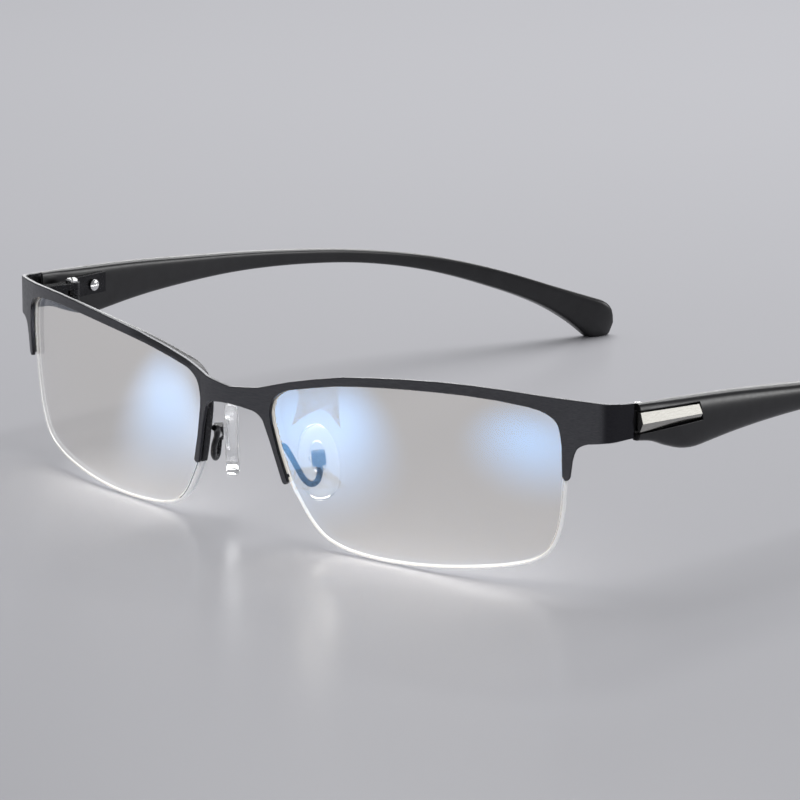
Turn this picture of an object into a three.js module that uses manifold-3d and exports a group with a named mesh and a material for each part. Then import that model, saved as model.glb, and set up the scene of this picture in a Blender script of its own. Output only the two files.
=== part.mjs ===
// Half rim eyeglasses: a bent metal brow plate with a grooved rim behind it, two lenses held from below by
// a nylon cord, hinged temples and rocking nose pads. Millimetres, +Z up, the wearer looks along -Y and
// +X is the wearer's left. The glasses stand on the bottoms of the lenses and on the tips of the temples.
import * as THREE from "three";
import { mergeVertices } from "three/addons/utils/BufferGeometryUtils.js";
import Module from "manifold-3d";

const wasm = await Module();
wasm.setup();

// ---- driving dimensions of the front -----------------------------------------------------------
const LENS_RADIUS = 88; // plan radius of the front over each lens
const LENS_ARC_X = 19.4; // where that arc starts, level with the bridge
const LENS_ARC_END_X = 64.6;
const LENS_ARC_Y = -9.65;
const BRIDGE_Y = -11.7; // the bridge stands forward of the lenses
const CORNER = [68.15, 5.0]; // where the end piece turns back
const SPLIT = [69.08, 10.25]; // rear end of the end piece, where the temple starts
const TILT = 0.08; // pantoscopic tilt, as rise over run
const TILT_TOP = 32; // height at which the tilt is measured
const BOW_RADIUS = 200; // upright curve of the front
const BOW_MIDDLE = 16;
const PLATE_THICK = 0.75;
const PLATE_BEVEL = 0.12;
const LENS_FRONT = 0.87; // depth of the lens's front face behind the plate's front face
const LENS_THICK = 1.9;
const LIP = 0.25; // how far the plate laps over the lens
const RIM_FRONT = 0.86;
const RIM_BACK = 2.14;
const RIM_GAP = 0.06;
const RIM_HEIGHT = 0.82;
const GROOVE_AT = 1.5; // depth of the groove's middle behind the plate's front face
const GROOVE_WIDTH = 0.86;
const GROOVE_DEPTH = 0.42;
const CORD_RADIUS = 0.36;
const LUG_TEMPORAL_H = 19.0; // heights at which the rim ends and the cord takes over
const LUG_NASAL_H = 11.1;
const CORD_TUCK = 1.3; // length of cord inside each end of the rim

// ---- driving dimensions of the hinges and temples ----------------------------------------------
const HINGE = { x: 65.6, y: 15.2, low: 25.85, high: 29.3, radius: 1.4, bore: 0.62, gap: 0.15 };
const KNUCKLE = (HINGE.high - HINGE.low) / 3;
const TEMPLE_START = 10.6;
const TEMPLE_END = 147.6;
const TIP_ROUND = 4.2;

const v2 = (x, y) => new THREE.Vector2(x, y);
const v3 = (x, y, z) => new THREE.Vector3(x, y, z);

// ---- geometry helpers ---------------------------------------------------------------------------
function indexed(geometry) {
  const bare = geometry.clone();
  bare.deleteAttribute("normal");
  bare.deleteAttribute("uv");
  bare.clearGroups();
  return mergeVertices(bare, 1e-4);
}

function fromParts(points, triangles) {
  const geometry = new THREE.BufferGeometry().setFromPoints(points);
  geometry.setIndex(triangles.flat());
  return geometry;
}

function signedVolume(geometry) {
  const place = geometry.attributes.position;
  const index = geometry.index;
  let sum = 0;
  for (let i = 0; i < index.count; i += 3) {
    const [a, b, c] = [0, 1, 2].map((k) => v3().fromBufferAttribute(place, index.getX(i + k)));
    sum += a.dot(b.cross(c));
  }
  return sum / 6;
}

// Turns the faces outwards if a mirroring warp has turned them in.
function facingOut(geometry) {
  if (signedVolume(geometry) > 0) return geometry;
  const old = geometry.index.array;
  const turned = [];
  for (let i = 0; i < old.length; i += 3) turned.push(old[i], old[i + 2], old[i + 1]);
  geometry.setIndex(turned);
  return geometry;
}

function solidOf(geometry) {
  const clean = facingOut(indexed(geometry));
  const vertProperties = new Float32Array(clean.attributes.position.array);
  const triVerts = new Uint32Array(clean.index.array);
  return new wasm.Manifold(new wasm.Mesh({ numProp: 3, vertProperties, triVerts }));
}

function geometryOf(solid) {
  const mesh = solid.getMesh();
  const geometry = new THREE.BufferGeometry();
  geometry.setAttribute("position", new THREE.BufferAttribute(mesh.vertProperties, 3));
  geometry.setIndex(new THREE.BufferAttribute(mesh.triVerts, 1));
  return geometry;
}

const joined = (first, ...rest) =>
  geometryOf(rest.reduce((whole, piece) => whole.add(solidOf(piece)), solidOf(first)));
const without = (first, ...rest) =>
  geometryOf(rest.reduce((whole, piece) => whole.subtract(solidOf(piece)), solidOf(first)));

// Splits every triangle that crosses one of the heights, so that a bend has vertices to move.
function sliced(geometry, heights) {
  const clean = indexed(geometry);
  const points = [];
  for (let i = 0; i < clean.attributes.position.count; i++) {
    points.push(v3().fromBufferAttribute(clean.attributes.position, i));
  }
  let triangles = [];
  for (let i = 0; i < clean.index.count; i += 3) {
    triangles.push([0, 1, 2].map((k) => clean.index.getX(i + k)));
  }
  for (const height of heights) {
    const made = new Map();
    const side = (i) => (Math.abs(points[i].y - height) < 0.02 ? 0 : Math.sign(points[i].y - height));
    const crossing = (a, b) => {
      const [low, high] = a < b ? [a, b] : [b, a];
      const key = low + "_" + high;
      if (!made.has(key)) {
        const share = (height - points[low].y) / (points[high].y - points[low].y);
        made.set(key, points.push(points[low].clone().lerp(points[high], share)) - 1);
      }
      return made.get(key);
    };
    triangles = triangles.flatMap((corners) => {
      const sides = corners.map(side);
      if (!sides.includes(1) || !sides.includes(-1)) return [corners];
      const level = sides.indexOf(0);
      const single = sides.findIndex((s) => sides.filter((t) => t === s).length === 1);
      const alone = level >= 0 ? level : single;
      const [a, b, c] = [0, 1, 2].map((k) => corners[(alone + k) % 3]);
      if (level >= 0) {
        const middle = crossing(b, c);
        return [[a, b, middle], [a, middle, c]];
      }
      const [toB, toC] = [crossing(a, b), crossing(a, c)];
      return [[a, toB, toC], [toB, b, c], [toB, c, toC]];
    });
  }
  return fromParts(points, triangles);
}

// Adds a point to a closed outline wherever it crosses one of the upright lines.
function crossed(outline, cuts) {
  return outline.flatMap((p, i) => {
    const q = outline[(i + 1) % outline.length];
    const between = cuts.filter((at) => (p.x - at) * (q.x - at) < -1e-6);
    if (q.x < p.x) between.reverse();
    return [p, ...between.map((at) => p.clone().lerp(q, (at - p.x) / (q.x - p.x)).setX(at))];
  });
}

// The faces of a closed outline, cut along the upright lines: triangles of indices into the outline.
function stripFaces(ring, cuts) {
  const bounds = [-Infinity, ...cuts, Infinity];
  const next = (i) => (i + 1) % ring.length;
  const faces = [];
  for (let n = 0; n + 1 < bounds.length; n++) {
    const [low, high] = [bounds[n], bounds[n + 1]];
    const holds = (i) => {
      const middle = (ring[i].x + ring[next(i)].x) / 2;
      return middle > low && middle < high;
    };
    const chains = [];
    ring.forEach((_, i) => {
      if (!holds(i) || holds((i + ring.length - 1) % ring.length)) return;
      const chain = [i];
      for (let k = i; holds(k); k = next(k)) chain.push(next(k));
      chains.push(chain);
    });
    // on each line the ends of the chains pair off in order of height
    const partner = new Map();
    for (const at of [low, high]) {
      const ends = chains.flatMap((chain) => [chain[0], chain[chain.length - 1]]);
      const here = ends.filter((i) => ring[i].x === at).sort((a, b) => ring[a].y - ring[b].y);
      for (let k = 0; k + 1 < here.length; k += 2) {
        partner.set(here[k], here[k + 1]);
        partner.set(here[k + 1], here[k]);
      }
    }
    const left = new Set(chains);
    while (left.size) {
      const loop = [];
      let [chain] = left;
      while (chain) {
        left.delete(chain);
        loop.push(...chain);
        const start = partner.get(chain[chain.length - 1]);
        chain = [...left].find((c) => c[0] === start);
      }
      const flat = loop.map((i) => ring[i]);
      for (const face of THREE.ShapeUtils.triangulateShape(flat, [])) faces.push(face.map((k) => loop[k]));
    }
  }
  return faces;
}

// A flat body whose closed outline is moved inwards by a given inset at each depth, as [inset, depth] levels.
function layered(outline, cuts, levels) {
  const ring = crossed(THREE.ShapeUtils.isClockWise(outline) ? [...outline].reverse() : outline, cuts);
  const count = ring.length;
  const points = levels.flatMap(([inset, depth]) =>
    ring.map((p, i) => {
      const along = ring[(i + 1) % count].clone().sub(ring[(i + count - 1) % count]).normalize();
      return v3(p.x - along.y * inset, p.y + along.x * inset, depth);
    }),
  );
  const faces = stripFaces(ring, cuts);
  const last = (levels.length - 1) * count;
  const triangles = faces.flatMap(([a, b, c]) => [[c, b, a], [a + last, b + last, c + last]]);
  for (let level = 0; level + 1 < levels.length; level++) {
    for (let i = 0; i < count; i++) {
      const [a, b] = [level * count + i, level * count + ((i + 1) % count)];
      triangles.push([a, b, b + count], [a, b + count, a + count]);
    }
  }
  return fromParts(points, triangles);
}

// Moves every vertex by a function of its flat place.
function warped(geometry, place) {
  const clean = indexed(geometry);
  const position = clean.attributes.position;
  for (let i = 0; i < position.count; i++) {
    const moved = place(position.getX(i), position.getY(i), position.getZ(i));
    position.setXYZ(i, moved.x, moved.y, moved.z);
  }
  return facingOut(clean);
}

const mirrored = (geometry) => warped(geometry, (x, y, z) => v3(-x, y, z));
const steps = (from, to, step) => {
  const count = Math.round((to - from) / step);
  return Array.from({ length: count + 1 }, (_, i) => from + ((to - from) * i) / count);
};

// Points along a smooth curve through the knots, closer together where it turns.
function smooth(knots, { closed = false, turn = 9, reach = 5 } = {}) {
  const curve = new THREE.CatmullRomCurve3(knots.map(([x, y]) => v3(x, y, 0)), closed, "centripetal");
  const fine = curve.getPoints(knots.length * 24);
  const heading = (i) => {
    const [a, b] = [fine[Math.max(i - 1, 0)], fine[Math.min(i + 1, fine.length - 1)]];
    return Math.atan2(b.y - a.y, b.x - a.x);
  };
  const kept = [v2(fine[0].x, fine[0].y)];
  let last = 0;
  for (let i = 1; i < fine.length - 1; i++) {
    const turned = Math.abs(Math.sin((heading(i) - heading(last)) / 2)) * 2;
    if (turned > THREE.MathUtils.degToRad(turn) || fine[i].distanceTo(fine[last]) > reach) {
      kept.push(v2(fine[i].x, fine[i].y));
      last = i;
    }
  }
  const end = v2(...knots[closed ? 0 : knots.length - 1]);
  if (kept[kept.length - 1].distanceTo(end) < 0.3) kept.pop();
  if (!closed) kept.push(end);
  return kept;
}

// The same open line, moved sideways: positive to the left of its direction.
function offset(points, distance) {
  return points.map((p, i) => {
    const [a, b] = [points[Math.max(i - 1, 0)], points[Math.min(i + 1, points.length - 1)]];
    const along = b.clone().sub(a).normalize();
    return v2(p.x - along.y * distance, p.y + along.x * distance);
  });
}

// A flat path through given points, for ExtrudeGeometry: its section's x lies across the path (positive
// to the left of its direction) and its y along +Z.
class FlatPath extends THREE.Curve {
  constructor(points) {
    super();
    this.points = points.map((p) => v3(p.x, p.y, 0));
  }
  getSpacedPoints() {
    return this.points;
  }
  computeFrenetFrames() {
    const last = this.points.length - 1;
    const tangents = this.points.map((_, i) =>
      this.points[Math.min(i + 1, last)].clone().sub(this.points[Math.max(i - 1, 0)]).normalize(),
    );
    return {
      tangents,
      normals: tangents.map((t) => v3(-t.y, t.x, 0)),
      binormals: tangents.map(() => v3(0, 0, 1)),
    };
  }
}

const swept = (points, section) =>
  new THREE.ExtrudeGeometry(section, { steps: points.length - 1, extrudePath: new FlatPath(points) });
const polygon = (corners) => new THREE.Shape(corners.map(([x, y]) => v2(x, y)));

function circle(radius, sides, x = 0, y = 0) {
  const corner = (i) => {
    const angle = ((i + 0.5) * 2 * Math.PI) / sides;
    return [x + radius * Math.cos(angle), y + radius * Math.sin(angle)];
  };
  return polygon(Array.from({ length: sides }, (_, i) => corner(i)));
}

function prism(shape, low, high, bevel = 0) {
  const geometry = new THREE.ExtrudeGeometry(shape, {
    depth: high - low - 2 * bevel,
    bevelEnabled: bevel > 0,
    bevelThickness: bevel,
    bevelSize: bevel,
    bevelOffset: -bevel,
    bevelSegments: 1,
    curveSegments: 24,
  });
  return geometry.translate(0, 0, low + bevel);
}

function block([x0, x1], [y0, y1], [z0, z1]) {
  const geometry = new THREE.BoxGeometry(x1 - x0, y1 - y0, z1 - z0);
  return geometry.translate((x0 + x1) / 2, (y0 + y1) / 2, (z0 + z1) / 2);
}

const upright = (x, y, radius, low, high, sides = 20) => prism(circle(radius, sides, x, y), low, high);

// A smooth function through (position, value) pairs.
function profile(pairs) {
  const curve = new THREE.CubicInterpolant(pairs.map((p) => p[0]), pairs.map((p) => p[1]), 1);
  return (at) => curve.evaluate(at)[0];
}

// ---- the front's surface ------------------------------------------------------------------------
// The plan line runs from the middle of the bridge to the rear end of the end piece.
const plan = new THREE.CurvePath();
const arcSpan = Math.asin((LENS_ARC_END_X - LENS_ARC_X) / LENS_RADIUS);
const arcCentreY = LENS_ARC_Y + LENS_RADIUS;
const arcEnd = v2(LENS_ARC_END_X, arcCentreY - LENS_RADIUS * Math.cos(arcSpan));
const cornerPoint = v2(...CORNER);
const splitPoint = v2(...SPLIT);
const cornerStart = arcEnd.clone().lerp(cornerPoint, 0.48);
const cornerFinish = cornerPoint.clone().lerp(splitPoint, 0.38);
plan.add(
  new THREE.CubicBezierCurve(v2(0, BRIDGE_Y), v2(8, BRIDGE_Y), v2(6, LENS_ARC_Y), v2(LENS_ARC_X, LENS_ARC_Y)),
);
plan.add(
  new THREE.EllipseCurve(
    LENS_ARC_X, arcCentreY, LENS_RADIUS, LENS_RADIUS, -Math.PI / 2, arcSpan - Math.PI / 2,
  ),
);
plan.add(new THREE.LineCurve(arcEnd, cornerStart));
plan.add(new THREE.QuadraticBezierCurve(cornerStart, cornerPoint, cornerFinish));
plan.add(new THREE.LineCurve(cornerFinish, splitPoint));
const PLAN_LENGTH = plan.getLength();
const CORNER_AT = PLAN_LENGTH - cornerStart.distanceTo(cornerPoint) - cornerPoint.distanceTo(splitPoint);

// Length along the plan line at which it reaches a given x.
function along(x) {
  let [low, high] = [0, PLAN_LENGTH];
  while (high - low > 1e-4) {
    const middle = (low + high) / 2;
    if (plan.getPoint(middle / PLAN_LENGTH).x < x) low = middle;
    else high = middle;
  }
  return low;
}

// From the flat front (length along the plan line, height, depth behind the plate's front face) to space.
function onFront(length, height, depth) {
  const share = Math.min(Math.abs(length) / PLAN_LENGTH, 1);
  const point = plan.getPoint(share);
  const heading = share < 1e-6 ? v2(1, 0) : plan.getTangent(share);
  const turned = THREE.MathUtils.smoothstep(Math.abs(length), CORNER_AT, PLAN_LENGTH);
  const lean = TILT * (TILT_TOP - height) * (1 - turned);
  const bow = (BOW_MIDDLE ** 2 - (height - BOW_MIDDLE) ** 2) / (2 * BOW_RADIUS);
  const side = length < 0 ? -1 : 1;
  return v3(
    side * (point.x - heading.y * depth),
    point.y + heading.x * depth + lean - bow * (1 - turned),
    height,
  );
}

const knots = (pairs) => pairs.map(([x, height]) => [along(x), height]);
const cornerCuts = steps(CORNER_AT - 0.3, CORNER_AT + 4.6, 0.7);
const bridgeCuts = steps(1.6, 12.8, 1.6);
const lensCuts = steps(17, CORNER_AT - 3, 5);
const rightCuts = [...bridgeCuts, ...lensCuts, ...cornerCuts];
const frontCuts = [...rightCuts.map((at) => -at).reverse(), 0, ...rightCuts];
const bent = (flat) => warped(flat, onFront);

// ---- the lens outline, as (x, height) knots from the nasal end of the rim round and back ----------
const lensLoop = smooth(
  knots([
    [10.65, LUG_NASAL_H], [9.15, 16], [8.1, 20.3], [7.95, 23.2], [8.75, 25.4], [10.8, 26.95], // nasal side
    [15.5, 28.2], [22.5, 29.75], [30.5, 30.8], [39, 31.45], [47.5, 31.6], [54.5, 31.1], // under the brow
    [58.7, 30.2], [60.8, 28.65], [61.55, 26.2], [61.75, 21], [61.55, 16.5], [61.1, 12.5], // temporal side
    [60.2, 9], [58.8, 6.4], [56.5, 4.6], [52.5, 3.25], [47, 2.2], [40.5, 1.3], // lower temporal corner
    [33.5, 0.75], [26.5, 0.7], [20.8, 1.25], [17.1, 2.45], [14.7, 4.5], [12.5, 7.7], // bottom, nasal corner
  ]),
  { closed: true, turn: 8, reach: 5 },
);
const firstBelow = lensLoop.findIndex((p, i) => i > 10 && p.x > along(50) && p.y < LUG_TEMPORAL_H);
const rimLine = lensLoop.slice(0, firstBelow);
const cordLine = [...lensLoop.slice(firstBelow - 1), lensLoop[0]];

function flatLens() {
  const half = GROOVE_WIDTH / 2;
  return layered(lensLoop, rightCuts, [
    [0, LENS_FRONT], [0, GROOVE_AT - half], [GROOVE_DEPTH, GROOVE_AT - half],
    [GROOVE_DEPTH, GROOVE_AT + half], [0, GROOVE_AT + half], [0, LENS_FRONT + LENS_THICK],
  ]);
}

// The rim is a channel: its open side faces the lens.
function flatRim() {
  const [near, far] = [RIM_GAP, RIM_GAP + RIM_HEIGHT];
  const half = GROOVE_WIDTH / 2;
  const floor = near + GROOVE_DEPTH;
  const channel = polygon([
    [near, RIM_FRONT], [far, RIM_FRONT], [far, RIM_BACK], [near, RIM_BACK],
    [near, GROOVE_AT + half], [floor, GROOVE_AT + half], [floor, GROOVE_AT - half], [near, GROOVE_AT - half],
  ]);
  return swept(rimLine, channel);
}

// The clear strip that fills the channel and the lens's upper groove.
function flatLiner() {
  const half = GROOVE_WIDTH / 2 - 0.06;
  const strip = polygon([
    [-GROOVE_DEPTH + 0.06, GROOVE_AT - half], [RIM_GAP + GROOVE_DEPTH - 0.06, GROOVE_AT - half],
    [RIM_GAP + GROOVE_DEPTH - 0.06, GROOVE_AT + half], [-GROOVE_DEPTH + 0.06, GROOVE_AT + half],
  ]);
  return swept(rimLine.slice(2, -2), strip);
}

function flatCord() {
  const tuck = (points) => points.filter((p) => p.distanceTo(points[0]) < CORD_TUCK).slice(1);
  const line = [...tuck([...rimLine].reverse()).reverse(), ...cordLine, ...tuck(rimLine)];
  return swept(line, circle(CORD_RADIUS, 8, 0.08, GROOVE_AT));
}

// ---- brow plate: one outline from end piece to end piece -----------------------------------------
function plateOutline() {
  const end = PLAN_LENGTH;
  const top = smooth(
    [
      ...knots([[0, 26], [5.5, 26.6], [10.5, 28.1], [16, 29.5], [23, 31.1], [31, 32.2], [41, 33.05]]),
      ...knots([[50, 33.15], [60, 32.45], [66.3, 31.95]]),
      [end, 31.35],
    ],
    { reach: 6 },
  );
  const underside = smooth(
    [
      [end, 25.55],
      ...knots([[66.9, 25.25], [65.0, 25], [63.8, 24.25], [63.15, 22.6], [62.85, 20.2], [62.65, 19.25]]),
      ...knots([[62.3, 18.85], [61.9, 18.75]]),
    ],
    { reach: 6 },
  );
  const aperture = offset(rimLine, -LIP).reverse();
  const noseEdge = smooth(
    knots([
      [10.65, 10.75], [10.25, 10.6], [9.85, 10.8], [9.6, 11.4], [9.05, 13.6], [8.0, 17.1], [7.15, 19.8],
      [6.5, 21.4], [5.3, 22.4], [3, 22.85], [0, 23],
    ]),
    { reach: 6 },
  );
  const half = [...top, ...underside, ...aperture, ...noseEdge];
  const other = half.slice(1, -1).reverse().map((p) => v2(-p.x, p.y));
  return [...half, ...other];
}

const frontPlate = bent(
  layered(plateOutline(), frontCuts, [
    [PLATE_BEVEL, 0], [0, PLATE_BEVEL], [0, PLATE_THICK - PLATE_BEVEL], [PLATE_BEVEL, PLATE_THICK],
  ]),
);

// ---- hinge: two knuckles on the front, one on the temple, a screw through all three ----------------
function knuckleSpan(i) {
  const low = HINGE.low + KNUCKLE * i;
  return [low + HINGE.gap / 2, low + KNUCKLE - HINGE.gap / 2];
}
const hingeBore = upright(HINGE.x, HINGE.y, HINGE.bore, HINGE.low - 1, HINGE.high + 1, 16);

function frontHinge() {
  const bracket = polygon([
    [67.3, 7.4], [67.9, 10.7], [67.15, 11.2], [66.9, 12.4], [66.9, HINGE.y], [64.35, HINGE.y], [64.35, 13.6],
    [66.1, 7.4],
  ]);
  const body = joined(
    prism(bracket, HINGE.low, HINGE.high),
    upright(HINGE.x, HINGE.y, HINGE.radius, HINGE.low, HINGE.high),
  );
  const [low, high] = knuckleSpan(1);
  const slot = upright(HINGE.x, HINGE.y, HINGE.radius + 0.9, low - HINGE.gap, high + HINGE.gap, 24);
  return without(body, slot, hingeBore);
}

const LEAF = { start: 17.6, end: 25.2, low: 25.75, high: 29.4, screwY: 22.0, screwZ: 27.5 };

function templeHinge() {
  const [low, high] = knuckleSpan(1);
  const leaf = polygon([[67.0, LEAF.start], [67.72, LEAF.start], [67.95, LEAF.end], [67.2, LEAF.end]]);
  const arm = polygon([
    [HINGE.x, HINGE.y + 0.7], [HINGE.x + 1.2, HINGE.y], [67.7, 17.4], [67.72, 18.4], [67.05, 18.4],
  ]);
  const body = joined(
    prism(leaf, LEAF.low, LEAF.high),
    prism(arm, low, high),
    upright(HINGE.x, HINGE.y, HINGE.radius, low, high),
  );
  return without(body, hingeBore, leafBore(66, 69, 0.62));
}

function leafBore(from, to, radius) {
  const bore = upright(0, 0, radius, from, to, 16);
  return warped(bore, (x, y, z) => v3(z, LEAF.screwY + x, LEAF.screwZ + y));
}

// A slotted head turned about the axis, with a plain shank below it.
function screw(head, headHeight, shank, shankLength) {
  const body = new THREE.LatheGeometry(
    [
      v2(0, -shankLength), v2(shank - 0.1, -shankLength), v2(shank, 0.15 - shankLength), v2(shank, 0),
      v2(head, 0), v2(head, headHeight * 0.6), v2(head * 0.72, headHeight), v2(0, headHeight),
    ],
    14,
  ).rotateX(Math.PI / 2);
  const slot = [-0.13 * head, 0.13 * head];
  return without(body, block([-head - 1, head + 1], slot, [headHeight * 0.5, headHeight + 1]));
}

const hingeScrew = screw(1.12, 0.6, HINGE.bore - 0.06, HINGE.high - HINGE.low - 0.2)
  .rotateZ(0.6)
  .translate(HINGE.x, HINGE.y, HINGE.high + 0.05);
const leafScrew = warped(screw(1.05, 0.5, 0.56, 1.9), (x, y, z) =>
  v3(66.98 - z, LEAF.screwY + x, LEAF.screwZ + y),
);

// ---- temple: a section that changes along its length, deep behind the hinge and hooked at the ear ----
const templeX = profile([
  [10, 70.1], [20, 71.1], [32, 71.7], [46, 72.1], [60, 72.3], [75, 71.5], [90, 70.1], [105, 67.6],
  [118, 63.9], [132, 58.6], [148, 52.3],
]);
const templeTop = profile([
  [10, 31.35], [20, 30.8], [34, 29.8], [50, 28.2], [72, 25.9], [92, 23.3], [110, 19.8], [122, 16.3],
  [134, 11.8], [148, 5.9],
]);
const templeBottom = profile([
  [10, 25.15], [14, 24.45], [17.5, 23.1], [21, 22.05], [24, 21.75], [27.5, 22.05], [33, 22.6],
  [41, 23.1], [54, 23.35], [66, 23.1], [80, 22.1], [94, 20.3], [108, 17.2], [120, 13.2], [132, 8],
  [140, 3.1], [148, -3.2],
]);
const templeThick = profile([[10, 2.0], [14, 2.2], [18, 2.8], [30, 3.2], [80, 3.1], [110, 3.3], [148, 3.2]]);

const TRIM = { front: 10.68, rear: 24.1, deep: 1.0, proud: 0.35, gap: 0.3 };
const TRIM_FRONT = { x: 70.12, top: 29.85, ridge: 28.0, bottom: 26.6 };
const TRIM_REAR = { x: 71.3, top: 29.15, ridge: 27.6, bottom: 26.75 };

// The insert's own section, or the recess round it when grown.
function trimBody(grown, outer) {
  const shape = polygon([[0, 0], [1, 0], [1, 0.5], [1, 1], [0, 1]]);
  const bar = new THREE.ExtrudeGeometry(shape, { depth: 1, steps: 1, bevelEnabled: false });
  return warped(bar, (across, up, share) => {
    const y = THREE.MathUtils.lerp(TRIM.front - grown, TRIM.rear + grown, share);
    const [x, top, ridge, bottom] = ["x", "top", "ridge", "bottom"].map((key) =>
      THREE.MathUtils.lerp(TRIM_FRONT[key], TRIM_REAR[key], share),
    );
    const height = up === 0.5 ? ridge : up > 0.5 ? top + grown : bottom - grown;
    const stand = up === 0.5 ? outer : outer - 0.55;
    return v3(across > 0 ? x + stand : x - TRIM.deep - grown, y + (1 - up) * 0.5 * share, height);
  });
}

function templeBlank() {
  const SIDES = 16;
  const SLICES = 46;
  const OUTER_POWER = 2.5; // crowned outside
  const INNER_POWER = 5; // nearly flat inside
  const corner = (i) => {
    const angle = ((i + 0.5) * 2 * Math.PI) / SIDES;
    const power = 2 / (Math.cos(angle) > 0 ? OUTER_POWER : INNER_POWER);
    const soft = (value) => Math.sign(value) * Math.abs(value) ** power / 2;
    return [soft(Math.cos(angle)), soft(Math.sin(angle))];
  };
  const section = polygon(Array.from({ length: SIDES }, (_, i) => corner(i)));
  const bar = new THREE.ExtrudeGeometry(section, { depth: 1, steps: SLICES, bevelEnabled: false });
  return warped(bar, (across, up, share) => {
    // stations crowd together where the end is rounded
    const station = THREE.MathUtils.lerp(share, Math.sin((share * Math.PI) / 2), 0.35);
    const y = THREE.MathUtils.lerp(TEMPLE_START, TEMPLE_END, station);
    const [top, bottom, thick] = [templeTop(y), templeBottom(y), templeThick(y)];
    const past = Math.max(0, (y - (TEMPLE_END - TIP_ROUND)) / TIP_ROUND);
    const round = Math.sqrt(Math.max(1 - past ** 2, 0.09));
    const height = (top - bottom) * round;
    const lean = 0.14 * THREE.MathUtils.smoothstep(y, 95, 140);
    const x = templeX(y) - thick / 2 + across * thick * round;
    const z = (top + bottom) / 2 + up * height;
    const swing = 0.42 * THREE.MathUtils.smoothstep(y, 132, TEMPLE_END);
    return v3(x - lean * up * height, y + swing * up * height, z);
  });
}

// The tip ends in a small flat, level with the bottoms of the lenses.
function temple() {
  const floor = block([30, 90], [100, 170], [-10, floorHeight]);
  return without(templeBlank(), floor, trimBody(TRIM.gap, 2), leafBore(66.5, 69.3, 0.64));
}

const templeTrim = trimBody(0, TRIM.proud);
const lensCord = bent(flatCord());
lensCord.computeBoundingBox();
const floorHeight = lensCord.boundingBox.min.z;

// ---- nose pad, in its own frame: +X down its length, +Y across it to the rear, +Z towards the temple ----
const PAD_CENTRE = v3(10.5, -0.1, 13.1);
const PAD_LONG = v3(0.06, 0.11, -0.992).normalize();
const PAD_OUT = v3(0.742, -0.669, -0.0293).normalize();
const PAD = { long: 6.5, wide: 3.3, half: 1.15, edge: 0.85 };
const PIVOT = { along: -1.4, out: 2.2 };
const PAD_WIRE = 0.56; // radius of the arm's wire

function placedOnPad(geometry) {
  const across = PAD_OUT.clone().cross(PAD_LONG).normalize();
  const frame = new THREE.Matrix4().makeBasis(PAD_LONG, across, PAD_OUT).setPosition(PAD_CENTRE);
  return indexed(geometry).applyMatrix4(frame);
}

function oval(long, wide, sides, x = 0) {
  const corner = (i) => {
    const angle = (i * 2 * Math.PI) / sides;
    const egg = 1 + 0.1 * Math.cos(angle); // broader at its lower end
    return [x + long * Math.cos(angle), wide * egg * Math.sin(angle)];
  };
  return polygon(Array.from({ length: sides }, (_, i) => corner(i)));
}

// A bore along the pad screw's axis.
const pivotBore = (radius) =>
  warped(upright(0, 0, radius, -3, 3, 14), (x, y, z) => v3(PIVOT.along + x, z, PIVOT.out + y));

function nosePad() {
  const pebble = new THREE.ExtrudeGeometry(oval(PAD.long, PAD.wide, 28), {
    depth: 2 * (PAD.half - PAD.edge * 0.8),
    bevelThickness: PAD.edge * 0.8,
    bevelSize: PAD.edge,
    bevelOffset: -PAD.edge,
    bevelSegments: 3,
  }).translate(0, 0, PAD.edge * 0.8 - PAD.half);
  const pocket = prism(oval(2.78, 1.5, 20, PIVOT.along + 0.2), 0.32, 2);
  return placedOnPad(without(pebble, pocket));
}

function padCore() {
  const plate = prism(oval(2.7, 1.42, 20, PIVOT.along + 0.2), 0.4, PAD.half - 0.03, 0.1);
  const lug = block([PIVOT.along - 0.8, PIVOT.along + 0.8], [-0.42, 0.42], [0.8, PIVOT.out + 0.4]);
  return placedOnPad(without(joined(plate, lug), pivotBore(0.42)));
}

function padBox() {
  const outline = polygon([
    [PIVOT.along - 1.2, -1], [PIVOT.along - 1.05, -1.15],
    [PIVOT.along + 1.05, -1.15], [PIVOT.along + 1.2, -1],
    [PIVOT.along + 1.2, 1], [PIVOT.along + 1.05, 1.15],
    [PIVOT.along - 1.05, 1.15], [PIVOT.along - 1.2, 1],
  ]);
  const hollow = block([PIVOT.along - 0.95, PIVOT.along + 0.95], [-0.56, 0.56], [1, PIVOT.out + 0.6]);
  const shell = without(prism(outline, PAD.half + 0.3, PIVOT.out + 0.85, 0.1), hollow, pivotBore(0.42));
  return placedOnPad(shell);
}

const padScrew = placedOnPad(
  warped(screw(0.62, 0.45, 0.36, 2.3), (x, y, z) => v3(PIVOT.along + x, -1.2 - z, PIVOT.out + y)),
);

function padArm() {
  const route = new THREE.CatmullRomCurve3([
    v3(7.85, -7.2, 16.75), v3(8.1, -6.15, 16.5), v3(8.95, -5.4, 14.9), v3(10.15, -4.85, 12.8),
    v3(11.0, -4.1, 11.0), v3(11.6, -3.0, 10.1), v3(12.05, -2.1, 10.45), v3(12.25, -1.62, 11.8),
    v3(12.13, -1.59, 13.1),
  ]);
  return new THREE.ExtrudeGeometry(circle(PAD_WIRE, 8), { steps: 24, extrudePath: route });
}

// ---- materials -----------------------------------------------------------------------------------
const standard = (color, roughness, metalness, more = {}) =>
  new THREE.MeshStandardMaterial({ color, roughness, metalness, ...more });
const GUNMETAL = () => standard(0x3a3c40, 0.42, 0.9);
const BLACK_METAL = () => standard(0x0c0c0e, 0.3, 0.8);
const STEEL = () => standard(0xb9bcc2, 0.22, 1);
const SATIN_BLACK = () => standard(0x111113, 0.5, 0);
const CLEAR = (opacity, color = 0xe9f1ff) => standard(color, 0.05, 0, { transparent: true, opacity });
const NYLON = () => standard(0xf2f4f6, 0.3, 0, { transparent: true, opacity: 0.8 });

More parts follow.
